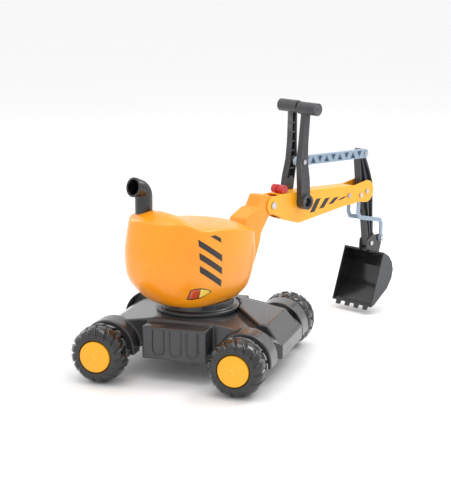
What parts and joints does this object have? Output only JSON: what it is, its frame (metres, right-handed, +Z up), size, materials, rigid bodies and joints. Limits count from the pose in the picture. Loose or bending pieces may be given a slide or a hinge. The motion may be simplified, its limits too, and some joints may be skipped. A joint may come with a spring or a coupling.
{
  "type": "ride-on digger",
  "caption": "Child's ride-on toy excavator: swivelling saddle cab on a wheeled chassis, two-lever boom, dipper and tipping bucket.",
  "frame": {"origin": "on the ground, under the swivel axis of the cab", "axes": "+X the way the digging arm points, +Y the rider's left, +Z up; the chassis is turned 64.9 degrees under the cab"},
  "size_m": [0.9124, 0.5552, 0.534],
  "materials": {
    "anthracite_plastic": "satin anthracite moulding",
    "black_plastic": "glossy black moulding",
    "yellow_plastic": "semi-gloss warm yellow moulding",
    "red_plastic": "glossy red moulding",
    "blue_grey_plastic": "satin pale blue-grey moulding",
    "steel": "zinc-plated steel"
  },
  "bodies": {
    "chassis": {"chassis_shell": "anthracite_plastic", "axle_front": "steel", "axle_rear": "steel", "axle_push_nuts": "steel", "turntable_post": "anthracite_plastic", "swivel_bolt": "steel", "swivel_washer": "steel", "swivel_nut": "steel"},
    "wheel_front_right": {"wheel_front_right": "black_plastic", "hub_cap_front_right": "yellow_plastic"},
    "wheel_front_left": {"wheel_front_left": "black_plastic", "hub_cap_front_left": "yellow_plastic"},
    "wheel_rear_right": {"wheel_rear_right": "black_plastic", "hub_cap_rear_right": "yellow_plastic"},
    "wheel_rear_left": {"wheel_rear_left": "black_plastic", "hub_cap_rear_left": "yellow_plastic"},
    "cab": {"cab_shell": "yellow_plastic", "exhaust_pipe": "black_plastic", "lower_boom": "yellow_plastic"},
    "boom": {"boom_half_left": "yellow_plastic", "boom_half_right": "yellow_plastic", "knee_pin": "steel", "boom_screw": "steel", "dipper_pin": "steel", "rod_upper_pin": "steel", "lever_axle": "steel", "lift_lever": "anthracite_plastic"},
    "dig_lever": {"dig_lever": "anthracite_plastic", "link_rear_screw": "steel"},
    "link": {"upper_link": "blue_grey_plastic"},
    "dipper": {"dipper_arm": "anthracite_plastic", "link_front_screw": "steel", "bucket_pin": "steel"},
    "bucket": {"bucket_shell": "black_plastic", "rod_lower_pin": "steel"},
    "rods": {"bucket_rod_left": "blue_grey_plastic", "bucket_rod_right": "blue_grey_plastic"},
    "lock_knob": {"lock_knob": "red_plastic"}
  },
  "joints": [
    {"name": "wheel_front_right_spin", "type": "hinge", "parent": "chassis", "child": "wheel_front_right", "pos_m": [-0.10176, -0.21182, 0.06], "axis": [0.9056, 0.4242, 0], "continuous": true},
    {"name": "wheel_front_left_spin", "type": "hinge", "parent": "chassis", "child": "wheel_front_left", "pos_m": [0.22787, -0.05741, 0.06], "axis": [0.9056, 0.4242, 0], "continuous": true},
    {"name": "wheel_rear_right_spin", "type": "hinge", "parent": "chassis", "child": "wheel_rear_right", "pos_m": [-0.22787, 0.05741, 0.06], "axis": [0.9056, 0.4242, 0], "continuous": true},
    {"name": "wheel_rear_left_spin", "type": "hinge", "parent": "chassis", "child": "wheel_rear_left", "pos_m": [0.10176, 0.21182, 0.06], "axis": [0.9056, 0.4242, 0], "continuous": true},
    {"name": "cab_swivel", "type": "hinge", "parent": "chassis", "child": "cab", "pos_m": [0, 0, 0.148], "axis": [0, 0, 1], "continuous": true},
    {"name": "boom_lift", "type": "hinge", "parent": "cab", "child": "boom", "pos_m": [0.222, 0, 0.313], "axis": [0, -1, 0], "range_deg": [0, 40]},
    {"name": "dig_swing", "type": "hinge", "parent": "boom", "child": "dig_lever", "pos_m": [0.316, 0, 0.309], "axis": [0, -1, 0], "range_deg": [-15, 30]},
    {"name": "link_rear_turn", "type": "hinge", "parent": "dig_lever", "child": "link", "pos_m": [0.308, 0, 0.401], "axis": [0, -1, 0], "range_deg": [-31, 16]},
    {"name": "dipper_swing", "type": "hinge", "parent": "boom", "child": "dipper", "pos_m": [0.558, 0, 0.297], "axis": [0, -1, 0], "range_deg": [-16, 31]},
    {"name": "bucket_tip", "type": "hinge", "parent": "dipper", "child": "bucket", "pos_m": [0.59, 0, 0.163], "axis": [0, -1, 0], "range_deg": [-9, 18]},
    {"name": "rod_turn", "type": "hinge", "parent": "boom", "child": "rods", "pos_m": [0.535, 0, 0.291], "axis": [0, -1, 0], "range_deg": [-15, 30]},
    {"name": "knob_lift", "type": "slide", "parent": "boom", "child": "lock_knob", "axis": [0, 0, 1], "range_m": [0, 0.008]}
  ],
  "couplings": [
    {"joint": "link_rear_turn", "follows": "dig_swing", "ratio": -1},
    {"joint": "dipper_swing", "follows": "dig_swing", "ratio": 1},
    {"joint": "bucket_tip", "follows": "dig_swing", "ratio": 0.5683},
    {"joint": "rod_turn", "follows": "dig_swing", "ratio": 0.9665}
  ]
}
